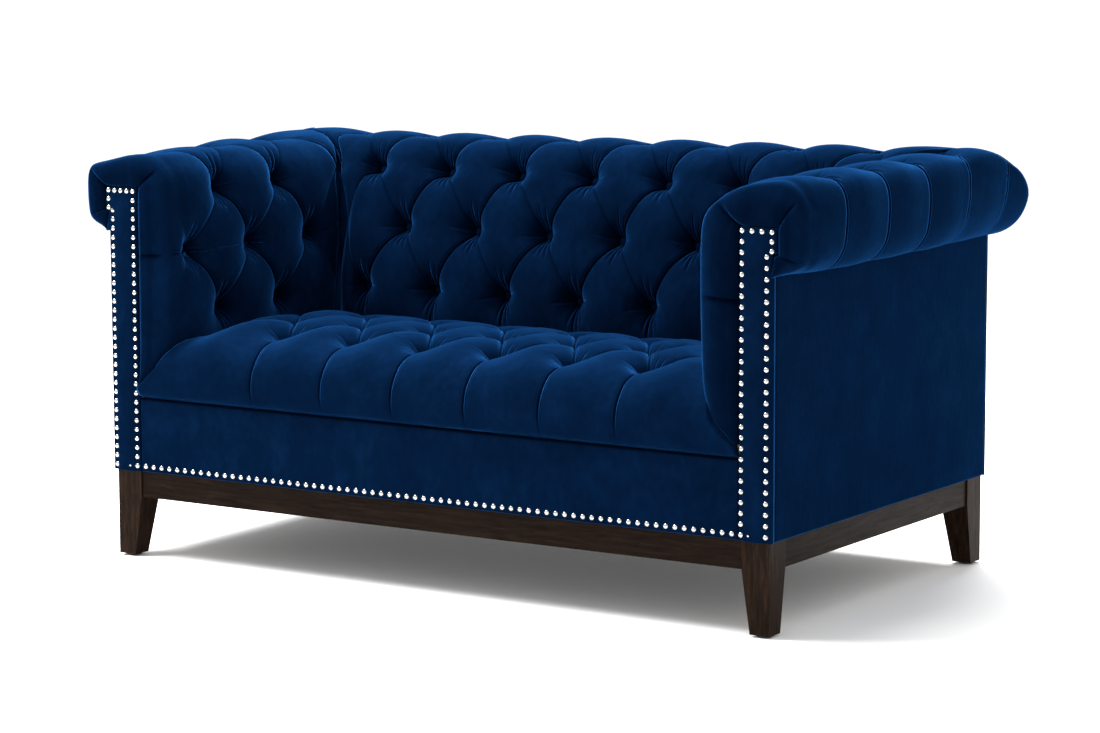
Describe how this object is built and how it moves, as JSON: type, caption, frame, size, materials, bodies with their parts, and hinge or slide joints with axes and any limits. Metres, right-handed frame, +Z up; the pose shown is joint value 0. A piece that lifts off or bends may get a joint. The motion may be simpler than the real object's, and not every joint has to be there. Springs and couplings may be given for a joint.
{
  "type": "tufted sofa",
  "caption": "Two-seat sofa with diamond-tufted seat, back and rolled arms, nail-head trim, and a low wooden base on tapered legs.",
  "frame": {"origin": "centre of the footprint, on the floor", "axes": "+X along the length, to the right as seen from the front; +Y towards the back; +Z up. The sitter faces -Y"},
  "size_m": [1.58, 0.904, 0.792],
  "materials": {
    "velvet": "soft short-pile velvet, royal blue",
    "dark_wood": "satin espresso stain",
    "frame_wood": "unfinished hardwood and plywood",
    "nickel": "polished nickel",
    "steel": "plain drawn steel",
    "nylon": "matte black nylon",
    "dust_cloth": "black non-woven cloth",
    "webbing": "woven jute"
  },
  "bodies": {
    "root": {"leg_front_left": "dark_wood", "leg_front_right": "dark_wood", "leg_back_left": "dark_wood", "leg_back_right": "dark_wood", "glide_front_left": "nylon", "glide_front_right": "nylon", "glide_back_left": "nylon", "glide_back_right": "nylon", "corner_block_front_left": "frame_wood", "corner_block_front_right": "frame_wood", "corner_block_back_left": "frame_wood", "corner_block_back_right": "frame_wood", "leg_bolt_front_left": "steel", "leg_bolt_front_right": "steel", "leg_bolt_back_left": "steel", "leg_bolt_back_right": "steel", "base_rail_front": "dark_wood", "base_rail_back": "dark_wood", "base_rail_left": "dark_wood", "base_rail_right": "dark_wood", "dust_cover": "dust_cloth", "seat_rail_front": "frame_wood", "seat_rail_back": "frame_wood", "seat_rail_left": "frame_wood", "seat_rail_right": "frame_wood", "seat_centre_brace": "frame_wood", "seat_spring_1": "steel", "seat_spring_2": "steel", "seat_spring_3": "steel", "seat_spring_4": "steel", "seat_spring_5": "steel", "seat_spring_6": "steel", "spring_cover": "webbing", "back_top_rail": "frame_wood", "back_bottom_rail": "frame_wood", "back_centre_post": "frame_wood", "back_webbing_lower": "webbing", "back_webbing_upper": "webbing", "arm_post_front_left": "frame_wood", "arm_post_back_left": "frame_wood", "arm_top_rail_left": "frame_wood", "arm_pad_left": "velvet", "arm_roll_left": "velvet", "arm_facing_left": "velvet", "arm_outside_left": "velvet", "nail_trim_left": "nickel", "arm_post_front_right": "frame_wood", "arm_post_back_right": "frame_wood", "arm_top_rail_right": "frame_wood", "arm_pad_right": "velvet", "arm_roll_right": "velvet", "arm_facing_right": "velvet", "arm_outside_right": "velvet", "nail_trim_right": "nickel", "seat_pad": "velvet", "front_rail_cover": "velvet", "nail_trim_front": "nickel", "back_pad": "velvet", "back_roll": "velvet", "back_outside": "velvet"}
  },
  "joints": []
}
